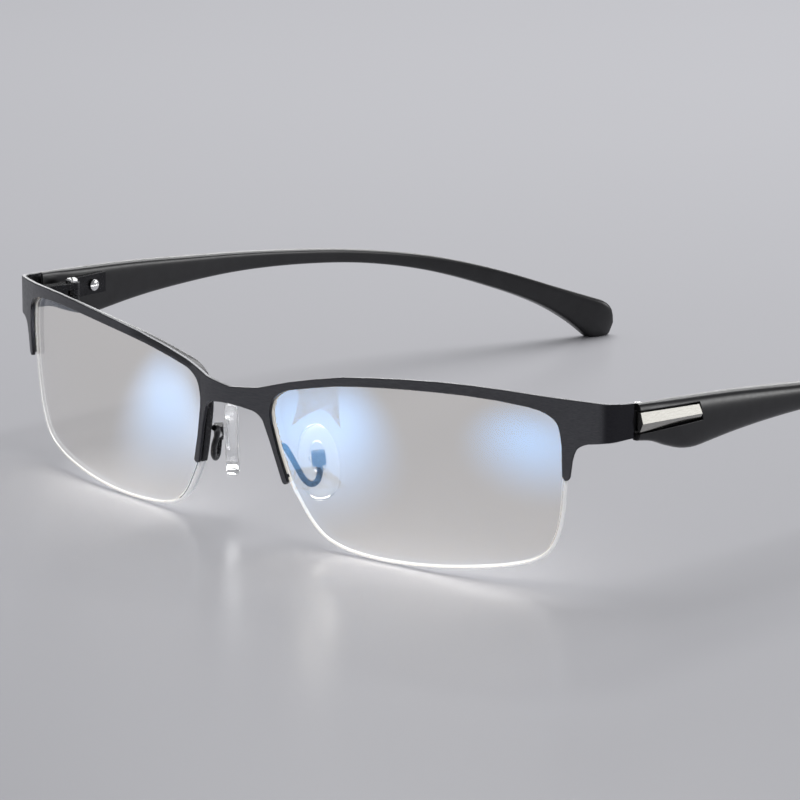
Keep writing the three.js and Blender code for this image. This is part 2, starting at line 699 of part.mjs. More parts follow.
// ---- assembly --------------------------------------------------------------------------------------
const glasses = new THREE.Group();
const add = (name, geometry, material) => {
  const mesh = new THREE.Mesh(geometry, material);
  mesh.name = name;
  glasses.add(mesh);
};

const paired = {
  eyewire: [bent(flatRim()), BLACK_METAL],
  rim_liner: [bent(flatLiner()), () => CLEAR(0.5)],
  lens: [bent(sliced(flatLens(), [9, 16, 23])), () => CLEAR(0.25, 0xdfe8ff)],
  lens_cord: [lensCord, NYLON],
  pad_arm: [padArm(), BLACK_METAL],
  pad_box: [padBox(), BLACK_METAL],
  pad_screw: [padScrew, STEEL],
  pad_core: [padCore(), () => CLEAR(0.6)],
  nose_pad: [nosePad(), () => CLEAR(0.35)],
  front_hinge: [frontHinge(), BLACK_METAL],
  hinge_screw: [hingeScrew, STEEL],
  temple: [temple(), SATIN_BLACK],
  temple_hinge: [templeHinge(), BLACK_METAL],
  leaf_screw: [leafScrew, STEEL],
  temple_trim: [templeTrim, STEEL],
};

add("front_plate", frontPlate, GUNMETAL());
for (const [name, [geometry, material]] of Object.entries(paired)) {
  add(name + "_left", geometry, material());
  add(name + "_right", mirrored(geometry), material());
}

// the origin is under the middle of the glasses, on the surface that they stand on
const box = new THREE.Box3().setFromObject(glasses);
glasses.position.set(0, -(box.min.y + box.max.y) / 2, -box.min.z);

export default glasses;
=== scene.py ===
# Half rim eyeglasses: the looks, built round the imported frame. Metres, +Z up, the wearer looks along -Y.
import bisect
import math

import bmesh
import bpy
from mathutils import Matrix, Vector


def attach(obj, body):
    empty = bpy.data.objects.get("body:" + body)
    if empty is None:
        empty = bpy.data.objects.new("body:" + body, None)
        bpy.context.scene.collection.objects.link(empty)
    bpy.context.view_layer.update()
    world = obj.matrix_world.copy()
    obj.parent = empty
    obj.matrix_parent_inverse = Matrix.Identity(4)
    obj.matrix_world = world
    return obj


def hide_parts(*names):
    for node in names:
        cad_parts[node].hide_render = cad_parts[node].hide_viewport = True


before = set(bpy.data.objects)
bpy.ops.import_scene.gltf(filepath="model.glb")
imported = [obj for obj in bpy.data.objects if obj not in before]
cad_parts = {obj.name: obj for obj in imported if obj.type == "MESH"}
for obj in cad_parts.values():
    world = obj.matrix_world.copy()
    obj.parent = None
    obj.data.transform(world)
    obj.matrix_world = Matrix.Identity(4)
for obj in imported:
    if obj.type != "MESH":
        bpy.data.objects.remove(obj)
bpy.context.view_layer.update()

MM = 0.001
SIDES = {"left": 1, "right": -1}
SHARP_ANGLE = math.radians(35)
WELD_DISTANCE = 0.002 * MM
MERGE_DISTANCE = 0.0005 * MM
RAMP_ENDS = (0.3, 0.7)
BEVEL_SAMPLES = 6


def add_to_scene(thing):
    bpy.context.scene.collection.objects.link(thing)


# ---- camera ------------------------------------------------------------------------------------------
CAMERA_AIM = Vector((0.0113, -0.0502, 0.0202))
CAMERA_DISTANCE = 0.812
CAMERA_AZIMUTH = 42.30
CAMERA_ELEVATION = 13.91
CAMERA_ROLL = 0.56
CAMERA_LENS = 216.3
CAMERA_SENSOR = 36
CAMERA_NEAR = 0.01
CAMERA_FAR = 50


def make_camera():
    """A camera that looks at the aim point from this azimuth and elevation, in degrees."""
    azimuth = math.radians(CAMERA_AZIMUTH)
    elevation = math.radians(CAMERA_ELEVATION)
    back = Vector((
        math.sin(azimuth) * math.cos(elevation),
        -math.cos(azimuth) * math.cos(elevation),
        math.sin(elevation),
    ))
    data = bpy.data.cameras.new("camera")
    data.lens = CAMERA_LENS
    data.sensor_width = CAMERA_SENSOR
    data.clip_start = CAMERA_NEAR
    data.clip_end = CAMERA_FAR
    camera = bpy.data.objects.new("camera", data)
    turn = (-back).to_track_quat("-Z", "Y").to_matrix().to_4x4()
    roll = Matrix.Rotation(math.radians(CAMERA_ROLL), 4, "Z")
    camera.matrix_world = Matrix.Translation(CAMERA_AIM + back * CAMERA_DISTANCE) @ turn @ roll
    add_to_scene(camera)
    bpy.context.scene.camera = camera


# ---- node helpers ------------------------------------------------------------------------------------
class Shader:
    """A material's node tree, with short calls for the nodes that the finishes use."""

    def __init__(self, name):
        self.material = bpy.data.materials.new(name)
        self.material.use_nodes = True
        self.tree = self.material.node_tree
        self.nodes = self.tree.nodes
        self.surface = self.nodes["Principled BSDF"]
        self.output = self.nodes["Material Output"]
        coordinates = self.nodes.new("ShaderNodeTexCoord")
        self.place = coordinates.outputs["Object"]
        self.direction = coordinates.outputs["Normal"]

    def link(self, source, target):
        self.tree.links.new(source, target)

    def set(self, **values):
        """Fixed values for the surface's inputs, named as in Blender but in lower case."""
        for key, value in values.items():
            name = key.replace("_", " ").title().replace("Ior", "IOR")
            if isinstance(value, tuple):
                value = (*value, 1)
            self.surface.inputs[name].default_value = value

    def drive(self, name, source):
        """Feeds one of the surface's inputs from a node."""
        self.link(source, self.surface.inputs[name])

    def stretched(self, x, y, z):
        """Object coordinates in millimetres, times these factors."""
        mapping = self.nodes.new("ShaderNodeMapping")
        mapping.inputs["Scale"].default_value = (x / MM, y / MM, z / MM)
        self.link(self.place, mapping.inputs["Vector"])
        return mapping.outputs["Vector"]

    def noise(self, cells, detail=3, roughness=0.55, place=None):
        """Noise with this many cells to the millimetre, or to the unit of the place given."""
        texture = self.nodes.new("ShaderNodeTexNoise")
        texture.inputs["Scale"].default_value = cells
        texture.inputs["Detail"].default_value = detail
        texture.inputs["Roughness"].default_value = roughness
        self.link(place or self.stretched(1, 1, 1), texture.inputs["Vector"])
        return texture.outputs["Fac"]

    def ramp(self, value, low, high):
        """Numbers or colours from low to high over the middle part of a noise's range."""
        node = self.nodes.new("ShaderNodeValToRGB")
        for element, at, shade in zip(node.color_ramp.elements, RAMP_ENDS, (low, high)):
            element.position = at
            element.color = (*shade, 1) if isinstance(shade, tuple) else (shade, shade, shade, 1)
        self.link(value, node.inputs["Fac"])
        return node.outputs["Color"]

    def facing(self, axis, start, end):
        """From 0 to 1 as the surface turns to face along this axis of its piece, either way."""
        split = self.nodes.new("ShaderNodeSeparateXYZ")
        self.link(self.direction, split.inputs["Vector"])
        size = self.nodes.new("ShaderNodeMath")
        size.operation = "ABSOLUTE"
        self.link(split.outputs[axis], size.inputs[0])
        scaled = self.nodes.new("ShaderNodeMapRange")
        scaled.interpolation_type = "SMOOTHSTEP"
        scaled.inputs["From Min"].default_value = start
        scaled.inputs["From Max"].default_value = end
        self.link(size.outputs["Value"], scaled.inputs["Value"])
        return scaled.outputs["Result"]

    def mixed(self, share, first, second):
        """Colours or numbers from first to second as share goes from 0 to 1; second can be fixed."""
        node = self.nodes.new("ShaderNodeMix")
        node.data_type = "RGBA"
        self.link(share, node.inputs[0])
        self.link(first, node.inputs[6])
        if isinstance(second, float):
            node.inputs[7].default_value = (second, second, second, 1)
        else:
            self.link(second, node.inputs[7])
        return node.outputs[2]

    def rounded(self, radius):
        """Edges that catch the light as if rounded to this radius in millimetres."""
        node = self.nodes.new("ShaderNodeBevel")
        node.samples = BEVEL_SAMPLES
        node.inputs["Radius"].default_value = radius * MM
        self.drive("Normal", node.outputs["Normal"])

    def bump(self, height, strength, distance):
        """A bump over the ones before it; distance in millimetres."""
        node = self.nodes.new("ShaderNodeBump")
        node.inputs["Strength"].default_value = strength
        node.inputs["Distance"].default_value = distance * MM
        self.link(height, node.inputs["Height"])
        normal = self.surface.inputs["Normal"]
        if normal.is_linked:
            self.link(normal.links[0].from_socket, node.inputs["Normal"])
        self.link(node.outputs["Normal"], normal)

    def lets_light_through(self, loss):
        """Lamps shine through the piece, and only this share of their light is lost."""
        path = self.nodes.new("ShaderNodeLightPath")
        clear = self.nodes.new("ShaderNodeBsdfTransparent")
        clear.inputs["Color"].default_value = (1 - loss, 1 - loss, 1 - loss, 1)
        mix = self.nodes.new("ShaderNodeMixShader")
        self.link(path.outputs["Is Shadow Ray"], mix.inputs["Fac"])
        self.link(self.surface.outputs["BSDF"], mix.inputs[1])
        self.link(clear.outputs["BSDF"], mix.inputs[2])
        self.link(mix.outputs["Shader"], self.output.inputs["Surface"])


# ---- finishes ----------------------------------------------------------------------------------------
def gunmetal():
    """Dark plated metal: satin with a fine grain in front, glossier where it turns back, where painted
    shade also darkens its colour.
    """
    s = Shader("gunmetal_satin")
    s.set(metallic=1.0)
    s.rounded(0.12)
    grain = s.noise(2.2, detail=4, roughness=0.6, place=s.stretched(0.25, 1.2, 3.0))
    # Faces turned along x: they are glossier, and painted shade darkens their base colour.
    side = s.facing("X", start=0.55, end=0.8)
    front_shade = s.ramp(grain, (0.104, 0.105, 0.112), (0.140, 0.141, 0.149))
    # Painted shade: a darker copy of the metal's colour for the faces turned along x.
    side_painted_shade = s.ramp(grain, (0.030, 0.030, 0.034), (0.042, 0.042, 0.047))
    s.drive("Base Color", s.mixed(side, front_shade, side_painted_shade))
    front_gloss = s.ramp(s.noise(1.4), 0.29, 0.38)
    side_gloss = s.ramp(s.noise(1.4), 0.14, 0.2)
    s.drive("Roughness", s.mixed(side, front_gloss, side_gloss))
    s.bump(grain, strength=0.1, distance=0.008)
    return s.material


def black_metal():
    """Black lacquered wire and hinge metal."""
    s = Shader("black_lacquer")
    s.set(metallic=0.6)
    s.rounded(0.1)
    s.drive("Base Color", s.ramp(s.noise(1.5), (0.012, 0.012, 0.014), (0.022, 0.022, 0.025)))
    s.drive("Roughness", s.ramp(s.noise(2.5), 0.2, 0.3))
    s.bump(s.noise(6), strength=0.08, distance=0.008)
    return s.material


def steel():
    """Bright turned steel, as on screw heads."""
    s = Shader("bright_steel")
    s.set(metallic=1.0)
    s.rounded(0.06)
    s.drive("Base Color", s.ramp(s.noise(3), (0.66, 0.66, 0.67), (0.82, 0.82, 0.81)))
    s.drive("Roughness", s.ramp(s.noise(5, detail=4), 0.14, 0.3))
    s.bump(s.noise(12), strength=0.06, distance=0.008)
    return s.material


def bright_trim():
    """Pale nickel plate, brushed along the temple."""
    s = Shader("brushed_nickel")
    s.set(metallic=1.0)
    s.rounded(0.1)
    brushed = s.noise(1.5, detail=4, roughness=0.65, place=s.stretched(6.0, 0.35, 6.0))
    s.drive("Base Color", s.ramp(brushed, (0.37, 0.36, 0.335), (0.52, 0.51, 0.475)))
    s.drive("Roughness", s.ramp(brushed, 0.1, 0.2))
    s.bump(brushed, strength=0.12, distance=0.006)
    return s.material


def satin_black():
    """Black injection-moulded plastic with a fine matt texture."""
    s = Shader("satin_black_plastic")
    s.set(specular_ior_level=0.46)
    s.rounded(0.2)
    s.drive("Base Color", s.ramp(s.noise(0.35), (0.008, 0.008, 0.009), (0.014, 0.014, 0.016)))
    s.drive("Roughness", s.ramp(s.noise(1.1, detail=4), 0.29, 0.35))
    s.bump(s.noise(7), strength=0.05, distance=0.006)
    return s.material


def lens_glass():
    """A clear lens with a hard coat that mirrors blue; its ground edge is frosted."""
    s = Shader("coated_lens")
    s.set(ior=1.56, specular_tint=(0.13, 0.47, 1.0))
    face = s.facing("Y", start=0.45, end=0.6)
    clear = s.ramp(s.noise(0.04, detail=2), (0.965, 0.94, 0.895), (0.975, 0.95, 0.91))
    frosted = s.ramp(s.noise(1.5), (0.92, 0.93, 0.94), (0.99, 0.99, 0.99))
    s.drive("Base Color", s.mixed(face, frosted, clear))
    polish = s.ramp(s.noise(0.3, detail=4), 0.0, 0.01)
    ground = s.ramp(s.noise(2), 0.4, 0.5)
    s.drive("Roughness", s.mixed(face, ground, polish))
    s.drive("Transmission Weight", s.mixed(face, s.ramp(s.noise(1), 0.1, 0.2), 1.0))
    s.lets_light_through(0.12)
    return s.material


def clear_nylon():
    """Milky clear nylon line."""
    s = Shader("milky_nylon")
    s.set(transmission_weight=0.12, ior=1.5)
    s.drive("Base Color", s.ramp(s.noise(0.8), (0.97, 0.97, 0.98), (1.0, 1.0, 1.0)))
    s.drive("Roughness", s.ramp(s.noise(3), 0.15, 0.25))
    s.lets_light_through(0.4)
    return s.material


def clear_core():
    """The clear hard plate inside a nose pad."""
    s = Shader("clear_hard_plastic")
    s.set(transmission_weight=0.95, ior=1.5)
    s.drive("Base Color", s.ramp(s.noise(0.7), (0.92, 0.94, 0.96), (0.98, 0.98, 0.99)))
    s.drive("Roughness", s.ramp(s.noise(2), 0.04, 0.12))
    s.lets_light_through(0.2)
    return s.material


def silicone():
    """Clear moulded silicone, slightly frosted."""
    s = Shader("clear_silicone")
    s.set(transmission_weight=0.84, ior=1.45)
    s.drive("Base Color", s.ramp(s.noise(0.5), (0.95, 0.97, 0.98), (0.99, 0.99, 1.0)))
    s.drive("Roughness", s.ramp(s.noise(1.5, detail=4), 0.02, 0.1))
    s.bump(s.noise(1.2), strength=0.08, distance=0.03)
    s.lets_light_through(0.2)
    return s.material


FINISHES = {
    "gunmetal": gunmetal(),
    "black_metal": black_metal(),
    "steel": steel(),
    "bright_trim": bright_trim(),
    "satin_black": satin_black(),
    "lens": lens_glass(),
    "clear_nylon": clear_nylon(),
    "clear_core": clear_core(),
    "silicone": silicone(),
}
SLOT_OF = {
    "front_plate": "gunmetal",
    "eyewire": "black_metal",
    "rim_liner": "clear_nylon",
    "lens": "lens",
    "lens_cord": "clear_nylon",
    "pad_arm": "black_metal",
    "pad_box": "black_metal",
    "pad_screw": "steel",
    "pad_core": "clear_core",
    "nose_pad": "silicone",
    "front_hinge": "black_metal",
    "hinge_screw": "steel",
    "temple": "satin_black",
    "temple_hinge": "black_metal",
    "leaf_screw": "steel",
    "temple_trim": "bright_trim",
}


# ---- CAD nodes ---------------------------------------------------------------------------------------
def smoothing_group():
    """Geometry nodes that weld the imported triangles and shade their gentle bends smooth."""
    group = bpy.data.node_groups.new("weld_and_smooth", "GeometryNodeTree")
    group.interface.new_socket("Geometry", in_out="INPUT", socket_type="NodeSocketGeometry")
    group.interface.new_socket("Geometry", in_out="OUTPUT", socket_type="NodeSocketGeometry")
    nodes = group.nodes
    start = nodes.new("NodeGroupInput")
    end = nodes.new("NodeGroupOutput")
    plain = nodes.new("GeometryNodeRemoveAttribute")
    plain.inputs["Name"].default_value = "custom_normal"
    weld = nodes.new("GeometryNodeMergeByDistance")
    weld.inputs["Distance"].default_value = WELD_DISTANCE
    smooth = nodes.new("GeometryNodeSetShadeSmooth")
    smooth.domain = "FACE"
    smooth.inputs["Shade Smooth"].default_value = True
    sharp = nodes.new("GeometryNodeSetShadeSmooth")
    sharp.domain = "EDGE"
    sharp.inputs["Shade Smooth"].default_value = False
    angle = nodes.new("GeometryNodeInputMeshEdgeAngle")
    bent = nodes.new("FunctionNodeCompare")
    bent.data_type = "FLOAT"
    bent.operation = "GREATER_THAN"
    bent.inputs["B"].default_value = SHARP_ANGLE
    links = group.links
    links.new(start.outputs[0], plain.inputs["Geometry"])
    links.new(plain.outputs["Geometry"], weld.inputs["Geometry"])
    links.new(weld.outputs["Geometry"], smooth.inputs["Geometry"])
    links.new(smooth.outputs["Geometry"], sharp.inputs["Geometry"])
    links.new(angle.outputs["Unsigned Angle"], bent.inputs["A"])
    links.new(bent.outputs["Result"], sharp.inputs["Selection"])
    links.new(sharp.outputs["Geometry"], end.inputs[0])
    return group


def kind_of(name):
    """A node's name without its side."""
    return name.removesuffix("_left").removesuffix("_right")


def finish_cad_nodes():
    group = smoothing_group()
    for name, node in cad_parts.items():
        for material_slot in node.material_slots:
            material_slot.link = "OBJECT"
            material_slot.material = FINISHES[SLOT_OF[kind_of(name)]]
        modifier = node.modifiers.new("smooth", "NODES")
        modifier.node_group = group


# ---- pieces that stand for CAD nodes, made of rings of points ----------------------------------------
SHIFT_Y = -68.27663
SHIFT_Z = -0.24182
MADE = []


def placed(x, y, z, side):
    """From the CAD's own millimetres to the scene, never below the floor."""
    return Vector((side * x, y + SHIFT_Y, max(z + SHIFT_Z, 0))) * MM


def between(keys, key):
    """The row before a key and how far past it the key lies."""
    i = min(max(bisect.bisect_right(keys, key) - 1, 0), len(keys) - 2)
    return i, (key - keys[i]) / (keys[i + 1] - keys[i])


def smooth_line(knots, steps, closed):
    """Points on a centripetal curve through the knots."""
    knots = [Vector(knot) for knot in knots]
    count = len(knots)
    points = []
    for i in range(count if closed else count - 1):
        b = knots[i]
        c = knots[(i + 1) % count]
        a = knots[i - 1] if closed or i else 2 * b - c
        d = knots[(i + 2) % count] if closed or i + 2 < count else 2 * c - b
        ab, bc, cd = ((q - p).length**0.5 for p, q in ((a, b), (b, c), (c, d)))
        leave = ((b - a) / ab - (c - a) / (ab + bc) + (c - b) / bc) * bc
        arrive = ((c - b) / bc - (d - b) / (bc + cd) + (d - c) / cd) * bc
        for k in range(steps):
            t = k / steps
            points.append(
                b + leave * t + (3 * (c - b) - 2 * leave - arrive) * t * t
                + (2 * (b - c) + leave + arrive) * t**3
            )
    if not closed:
        points.append(knots[-1])
    return points


def round_section(radius, across, up, sides=16):
    """Points of a circle round (across, up)."""
    angles = [2 * math.pi * (k + 0.5) / sides for k in range(sides)]
    return [(across + radius * math.cos(angle), up + radius * math.sin(angle)) for angle in angles]


def ring_mesh(name, rings, closed_ends):
    """A mesh of quads through rings of points."""
    mesh = bpy.data.meshes.new(name)
    sides = len(rings[0])
    points = [point for ring in rings for point in ring]
    faces = []
    for i in range(len(rings) - 1):
        for k in range(sides):
            a = i * sides + k
            b = i * sides + (k + 1) % sides
            faces.append((a, b, b + sides, a + sides))
    if closed_ends:
        last = (len(rings) - 1) * sides
        faces.append(tuple(range(sides)))
        faces.append(tuple(range(last, last + sides)))
    mesh.from_pydata(points, [], faces)
    work = bmesh.new()
    work.from_mesh(mesh)
    bmesh.ops.remove_doubles(work, verts=work.verts, dist=MERGE_DISTANCE)
    bmesh.ops.recalc_face_normals(work, faces=work.faces)
    work.to_mesh(mesh)
    work.free()
    return mesh


def cut_away(piece, cutters):
    """Takes closed bodies, given as rings of points, out of a piece."""
    tools = []
    for rings in cutters:
        name = piece.name + "_cutter"
        tool = bpy.data.objects.new(name, ring_mesh(name, rings, True))
        add_to_scene(tool)
        modifier = piece.modifiers.new("cut", "BOOLEAN")
        modifier.operation = "DIFFERENCE"
        modifier.solver = "EXACT"
        modifier.object = tool
        tools.append(tool)
    bpy.context.view_layer.update()
    finished = piece.evaluated_get(bpy.context.evaluated_depsgraph_get())
    mesh = bpy.data.meshes.new_from_object(finished)
    piece.modifiers.clear()
    piece.data = mesh
    for tool in tools:
        bpy.data.objects.remove(tool)


def make_piece(label, kind, side_name, body, rings, closed_ends=True, cutters=()):
    """A piece that stands for the CAD node of this kind and side."""
    name = f"{label}_{side_name}"
    piece = bpy.data.objects.new(name, ring_mesh(name, rings, closed_ends))
    add_to_scene(piece)
    if cutters:
        cut_away(piece, cutters)
    piece.data.shade_smooth()
    piece.data.set_sharp_from_angle(angle=SHARP_ANGLE)
    piece.data.materials.clear()
    piece.data.materials.append(FINISHES[SLOT_OF[kind]])
    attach(piece, body)
    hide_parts(f"{kind}_{side_name}")
    MADE.append((kind, piece))


# ---- the front's surface: (length along the plan line, height, depth) in mm, bent as in the CAD ------
LENS_RADIUS = 88.0
LENS_ARC_X = 19.4
LENS_ARC_END_X = 64.6
LENS_ARC_Y = -9.65
BRIDGE_Y = -11.7
BRIDGE_FLAT_X = 8.0
BRIDGE_EASE_X = 6.0
CORNER = Vector((68.15, 5.0))
SPLIT = Vector((69.08, 10.25))
CORNER_STARTS = 0.48
CORNER_ENDS = 0.38
BRIDGE_STEPS = 300
ARC_STEPS = 500
CORNER_STEPS = 60
STRAIGHT_STEPS = 40
TILT = 0.08
TILT_TOP = 32.0
BOW_RADIUS = 200.0
BOW_MIDDLE = 16.0


def plan_line():
    """Rows of (length, x, y, heading x, heading y) along half the front, and where the corner begins."""
    span = math.asin((LENS_ARC_END_X - LENS_ARC_X) / LENS_RADIUS)
    centre_y = LENS_ARC_Y + LENS_RADIUS
    arc_end = Vector((LENS_ARC_END_X, centre_y - LENS_RADIUS * math.cos(span)))
    corner_start = arc_end.lerp(CORNER, CORNER_STARTS)
    corner_finish = CORNER.lerp(SPLIT, CORNER_ENDS)
    middle = Vector((0, BRIDGE_Y))
    flat = Vector((BRIDGE_FLAT_X, BRIDGE_Y))
    ease = Vector((BRIDGE_EASE_X, LENS_ARC_Y))
    arc_start = Vector((LENS_ARC_X, LENS_ARC_Y))
    points = []
    for i in range(BRIDGE_STEPS):
        t = i / BRIDGE_STEPS
        u = 1 - t
        points.append(middle * u**3 + flat * 3 * u * u * t + ease * 3 * u * t * t + arc_start * t**3)
    for i in range(ARC_STEPS):
        angle = span * i / ARC_STEPS
        x = LENS_ARC_X + LENS_RADIUS * math.sin(angle)
        points.append(Vector((x, centre_y - LENS_RADIUS * math.cos(angle))))
    points += [arc_end.lerp(corner_start, i / STRAIGHT_STEPS) for i in range(STRAIGHT_STEPS)]
    for i in range(CORNER_STEPS):
        t = i / CORNER_STEPS
        points.append(corner_start * (1 - t)**2 + CORNER * 2 * t * (1 - t) + corner_finish * t * t)
    points += [corner_finish.lerp(SPLIT, i / STRAIGHT_STEPS) for i in range(STRAIGHT_STEPS + 1)]
    rows = []
    length = 0.0
    for i, point in enumerate(points):
        if i:
            length += (point - points[i - 1]).length
        before = points[max(i - 1, 0)]
        after = points[min(i + 1, len(points) - 1)]
        heading = (after - before).normalized()
        rows.append((length, point.x, point.y, heading.x, heading.y))
    corner_at = length - (corner_start - CORNER).length - (CORNER - SPLIT).length
    return rows, corner_at


PLAN, CORNER_AT = plan_line()
PLAN_LENGTHS = [row[0] for row in PLAN]
PLAN_X = [row[1] for row in PLAN]


def along(x):
    """Length along the plan line at which it reaches x."""
    i, share = between(PLAN_X, x)
    return PLAN_LENGTHS[i] + share * (PLAN_LENGTHS[i + 1] - PLAN_LENGTHS[i])


def on_front(length, height, depth, side):
    """A flat point bent with the front: tilted and bowed, less and less round the corner."""
    i, share = between(PLAN_LENGTHS, length)
    _, x, y, heading_x, heading_y = (a + share * (b - a) for a, b in zip(PLAN[i], PLAN[i + 1]))
    turned = min(max((length - CORNER_AT) / (PLAN_LENGTHS[-1] - CORNER_AT), 0), 1)
    flat = 1 - turned * turned * (3 - 2 * turned)
    lean = TILT * (TILT_TOP - height) * flat
    bow = (BOW_MIDDLE**2 - (height - BOW_MIDDLE)**2) / (2 * BOW_RADIUS) * flat
    return Vector((
        side * (x - heading_y * depth) * MM,
        (y + heading_x * depth + lean - bow + SHIFT_Y) * MM,
        (height + SHIFT_Z) * MM,
    ))


# ---- lenses, rims and cords --------------------------------------------------------------------------
# The lens outline as (x, height) knots, from the nasal end of the rim round and back.
LENS_KNOTS = [
    (10.65, 11.1), (9.15, 16), (8.1, 20.3), (7.95, 23.2), (8.75, 25.4), (10.8, 26.95),
    (15.5, 28.2), (22.5, 29.75), (30.5, 30.8), (39, 31.45), (47.5, 31.6), (54.5, 31.1),
    (58.7, 30.2), (60.8, 28.65), (61.55, 26.2), (61.75, 21), (61.55, 16.5), (61.1, 12.5),
    (60.2, 9), (58.8, 6.4), (56.5, 4.6), (52.5, 3.25), (47, 2.2), (40.5, 1.3),
    (33.5, 0.75), (26.5, 0.7), (20.8, 1.25), (17.1, 2.45), (14.7, 4.5), (12.5, 7.7),
]
LENS_STEPS = 8
LENS_ROUNDS = 14
LENS_LOOP = smooth_line([(along(x), height) for x, height in LENS_KNOTS], LENS_STEPS, closed=True)
LENS_FRONT = 0.87
LENS_THICK = 1.9
LENS_REAR = LENS_FRONT + LENS_THICK
LENS_BEVEL = 0.07
GROOVE_AT = 1.5
GROOVE_HALF = 0.43
GROOVE_FRONT = GROOVE_AT - GROOVE_HALF
GROOVE_REAR = GROOVE_AT + GROOVE_HALF
GROOVE_DEPTH = 0.42
RIM_FRONT = 0.86
RIM_BACK = 2.14
RIM_GAP = 0.06
RIM_HEIGHT = 0.82
RIM_FAR = RIM_GAP + RIM_HEIGHT
RIM_CHAMFER = 0.1
RIM_ROUND = 0.25
RIM_ROUND_MIDDLE = 0.07
LINER_PLAY = 0.06
LINER_SHORTER = 2
CORD_RADIUS = 0.33
CORD_OUT = 0.08
CORD_TUCK = 1.2
LUG_TEMPORAL_X = 50.0
LUG_TEMPORAL_H = 19.0


def outward(line, i, closed):
    """The direction away from the lens at a point of a line that runs round it."""
    if closed:
        way = line[(i + 1) % len(line)] - line[i - 1]
    else:
        way = line[min(i + 1, len(line) - 1)] - line[max(i - 1, 0)]
    return Vector((-way.y, way.x)).normalized()


def make_lens(side_name):
    """Rings from the middle of the front face out to the grooved edge and in again behind."""
    side = SIDES[side_name]
    centre = sum(LENS_LOOP, Vector((0, 0))) / len(LENS_LOOP)
    edge = [
        (LENS_BEVEL, LENS_FRONT), (0, LENS_FRONT + LENS_BEVEL),
        (0, GROOVE_FRONT), (GROOVE_DEPTH, GROOVE_FRONT), (GROOVE_DEPTH, GROOVE_REAR), (0, GROOVE_REAR),
        (0, LENS_REAR - LENS_BEVEL), (LENS_BEVEL, LENS_REAR),
    ]
    shares = [k / LENS_ROUNDS for k in range(1, LENS_ROUNDS + 1)]
    levels = [(LENS_BEVEL, LENS_FRONT, share) for share in shares]
    levels += [(inset, depth, 1) for inset, depth in edge]
    levels += [(LENS_BEVEL, LENS_REAR, share) for share in reversed(shares[:-1])]
    rings = []
    for inset, depth, share in levels:
        ring = []
        for i, point in enumerate(LENS_LOOP):
            place = centre + (point - outward(LENS_LOOP, i, True) * inset - centre) * share
            ring.append(on_front(place.x, place.y, depth, side))
        rings.append(ring)
    rings.insert(0, [on_front(centre.x, centre.y, LENS_FRONT, side)] * len(LENS_LOOP))
    rings.append([on_front(centre.x, centre.y, LENS_REAR, side)] * len(LENS_LOOP))
    make_piece("lens_body", "lens", side_name, "front", rings, closed_ends=False)


def front_sweep(label, kind, side_name, line, section):
    """A section of (outward, depth) points swept along a line on the front."""
    rings = []
    for i, point in enumerate(line):
        out = outward(line, i, False)
        ring = []
        for across, depth in section:
            place = point + out * across
            ring.append(on_front(place.x, place.y, depth, SIDES[side_name]))
        rings.append(ring)
    make_piece(label, kind, side_name, "front", rings)


def rim_and_cord_lines():
    """The lens outline split at the two ends of the rim, with the cord tucked a little way into both."""
    half_way = along(LUG_TEMPORAL_X)
    below = next(i for i, p in enumerate(LENS_LOOP) if p.x > half_way and p.y < LUG_TEMPORAL_H)
    rim_line = LENS_LOOP[:below]
    tail = [p for p in rim_line if (p - rim_line[-1]).length < CORD_TUCK and p.x > half_way]
    head = [p for p in rim_line if (p - rim_line[0]).length < CORD_TUCK and p.x < half_way]
    return rim_line, tail + LENS_LOOP[below:] + head


def channel_section():
    """The rim's section, open to the lens by a groove like the lens's own."""
    bed = RIM_GAP + GROOVE_DEPTH
    return [
        (RIM_GAP, RIM_FRONT), (RIM_FAR - RIM_CHAMFER, RIM_FRONT),
        (RIM_FAR, RIM_FRONT + RIM_CHAMFER), (RIM_FAR, RIM_BACK - RIM_ROUND),
        (RIM_FAR - RIM_ROUND_MIDDLE, RIM_BACK - RIM_ROUND_MIDDLE), (RIM_FAR - RIM_ROUND, RIM_BACK),
        (RIM_GAP + RIM_CHAMFER, RIM_BACK), (RIM_GAP, RIM_BACK - RIM_CHAMFER),
        (RIM_GAP, GROOVE_REAR), (bed, GROOVE_REAR), (bed, GROOVE_FRONT), (RIM_GAP, GROOVE_FRONT),
    ]


def strip_section():
    """The clear strip that lies half in the lens's groove and half in the rim's."""
    low = LINER_PLAY - GROOVE_DEPTH
    high = RIM_GAP + GROOVE_DEPTH - LINER_PLAY
    front = GROOVE_FRONT + LINER_PLAY
    rear = GROOVE_REAR - LINER_PLAY
    return [(low, front), (high, front), (high, rear), (low, rear)]


# ---- pad arms ----------------------------------------------------------------------------------------
ARM_RADIUS = 0.52
ARM_STEPS = 10
ARM_ROUTE = [
    (7.85, -7.2, 16.75), (8.1, -6.15, 16.5), (8.95, -5.4, 14.9), (10.15, -4.85, 12.8),
    (11.0, -4.1, 11.0), (11.6, -3.0, 10.1), (12.05, -2.1, 10.45), (12.25, -1.62, 11.8),
    (12.13, -1.59, 13.1),
]


def make_arm(side_name):
    """The bent wire that carries a nose pad."""
    route = smooth_line(ARM_ROUTE, ARM_STEPS, closed=False)
    across = Vector((1, 0, 0))
    rings = []
    for i, point in enumerate(route):
        way = (route[min(i + 1, len(route) - 1)] - route[max(i - 1, 0)]).normalized()
        across = (across - way * across.dot(way)).normalized()
        up = way.cross(across)
        ring = []
        for x, y in round_section(ARM_RADIUS, 0, 0):
            place = point + across * x + up * y
            ring.append(placed(*place, SIDES[side_name]))
        rings.append(ring)
    make_piece("arm_wire", "pad_arm", side_name, "front", rings)


